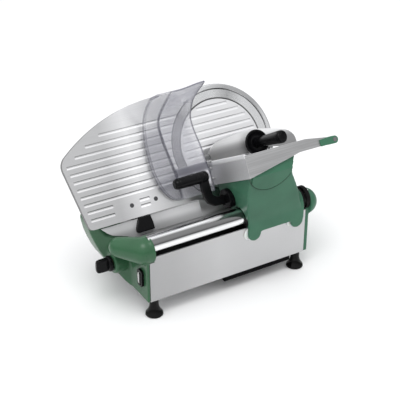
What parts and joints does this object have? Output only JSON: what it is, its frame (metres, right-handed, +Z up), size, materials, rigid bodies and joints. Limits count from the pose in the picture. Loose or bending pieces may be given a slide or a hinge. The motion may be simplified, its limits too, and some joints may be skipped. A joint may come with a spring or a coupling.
{
  "type": "deli meat slicer",
  "caption": "Gravity meat slicer: slanted round blade, ribbed gauge plate set by a knob, tray carriage on a slide bar with clear hand guard and swinging pusher.",
  "frame": {"origin": "on the counter, midway between the four feet", "axes": "+X along the carriage travel to the user's right, +Y to the rear, +Z up"},
  "size_m": [0.696, 0.3811, 0.5501],
  "materials": {
    "green_paint": "hammered satin enamel on cast aluminium",
    "panel": "fine brushed, anodised",
    "plate": "brushed, ribbed",
    "bright": "polished stainless",
    "bar": "ground and chromed",
    "tray_metal": "satin",
    "inner_steel": "machined",
    "black_plastic": "semi-gloss moulded",
    "black_rubber": "matt",
    "nylon": "natural nylon",
    "clear_guard": "clear polycarbonate",
    "bronze": "sintered"
  },
  "bodies": {
    "frame": {"base_shell": "panel", "base_floor": "inner_steel", "apron_sheet": "bright", "bottom_pan": "black_plastic", "channel_strip": "black_rubber", "feet": "black_rubber", "foot_bolts": "inner_steel", "left_end": "green_paint", "right_end": "green_paint", "slide_bar": "bar", "bar_buffer": "black_rubber", "cord_gland": "black_rubber", "switch_bezel": "black_plastic", "blade_axle": "inner_steel", "blade_support": "panel", "ring_guard": "bright", "ring_screws": "inner_steel", "blade_cover": "plate", "cover_rod": "inner_steel", "cover_knob": "black_plastic", "slice_deflector": "bright", "motor": "inner_steel", "motor_bracket": "inner_steel", "drive_belt": "black_rubber", "gauge_guides": "inner_steel", "gauge_bracket": "panel", "shaft_bush": "bronze"},
    "rocker": {"switch_rocker": "nylon"},
    "blade": {"blade": "bright", "blade_hub": "inner_steel", "blade_bearings": "inner_steel", "blade_screws": "inner_steel"},
    "rotor": {"motor_pulley": "inner_steel"},
    "gauge": {"gauge_plate": "plate", "gauge_arm": "black_plastic", "gauge_screws": "inner_steel", "cam_follower": "inner_steel"},
    "index": {"index_knob": "black_plastic", "cam_shaft": "inner_steel", "scroll_cam": "inner_steel"},
    "carriage": {"carriage": "green_paint", "carriage_bushes": "nylon", "bar_wipers": "black_rubber", "carriage_pads": "nylon", "tray_lug": "green_paint", "side_cap": "black_plastic", "tray": "tray_metal", "guard": "clear_guard", "guard_screws": "inner_steel", "handle_grip": "black_plastic", "handle_stalk": "black_plastic", "pusher_rod": "bar", "rod_bracket": "green_paint"},
    "slider": {"pusher_sleeve": "nylon"},
    "pusher": {"pusher_arm": "bright", "pusher_flange": "black_plastic", "pusher_grip": "black_plastic"}
  },
  "joints": [
    {"name": "blade_spin", "type": "hinge", "parent": "frame", "child": "blade", "pos_m": [0.091, 0.0465, 0.35118], "axis": [0, -0.866, 0.5], "continuous": true},
    {"name": "motor_spin", "type": "hinge", "parent": "frame", "child": "rotor", "pos_m": [0.091, -0.0485, 0.18664], "axis": [0, -0.866, 0.5], "continuous": true},
    {"name": "gauge_slide", "type": "slide", "parent": "frame", "child": "gauge", "axis": [0, 0.866, -0.5], "range_m": [0, 0.015]},
    {"name": "knob_turn", "type": "hinge", "parent": "frame", "child": "index", "pos_m": [-0.246, -0.02497, 0.1234], "axis": [1, 0, 0], "range_deg": [0, 330.1]},
    {"name": "carriage_slide", "type": "slide", "parent": "frame", "child": "carriage", "axis": [1, 0, 0], "range_m": [-0.262, 0.008]},
    {"name": "pusher_slide", "type": "slide", "parent": "carriage", "child": "slider", "axis": [0, -0.866, 0.5], "range_m": [0, 0.11]},
    {"name": "pusher_swing", "type": "hinge", "parent": "slider", "child": "pusher", "pos_m": [0.303, -0.01991, 0.31216], "axis": [0, 0.866, -0.5], "range_deg": [0, 100]},
    {"name": "switch_rock", "type": "hinge", "parent": "frame", "child": "rocker", "pos_m": [-0.259, -0.117, 0.116], "axis": [0, 1, 0], "range_deg": [-5, 5]}
  ],
  "couplings": [
    {"joint": "motor_spin", "follows": "blade_spin", "ratio": 2},
    {"joint": "knob_turn", "follows": "gauge_slide", "rad_per_m": 383.97}
  ]
}
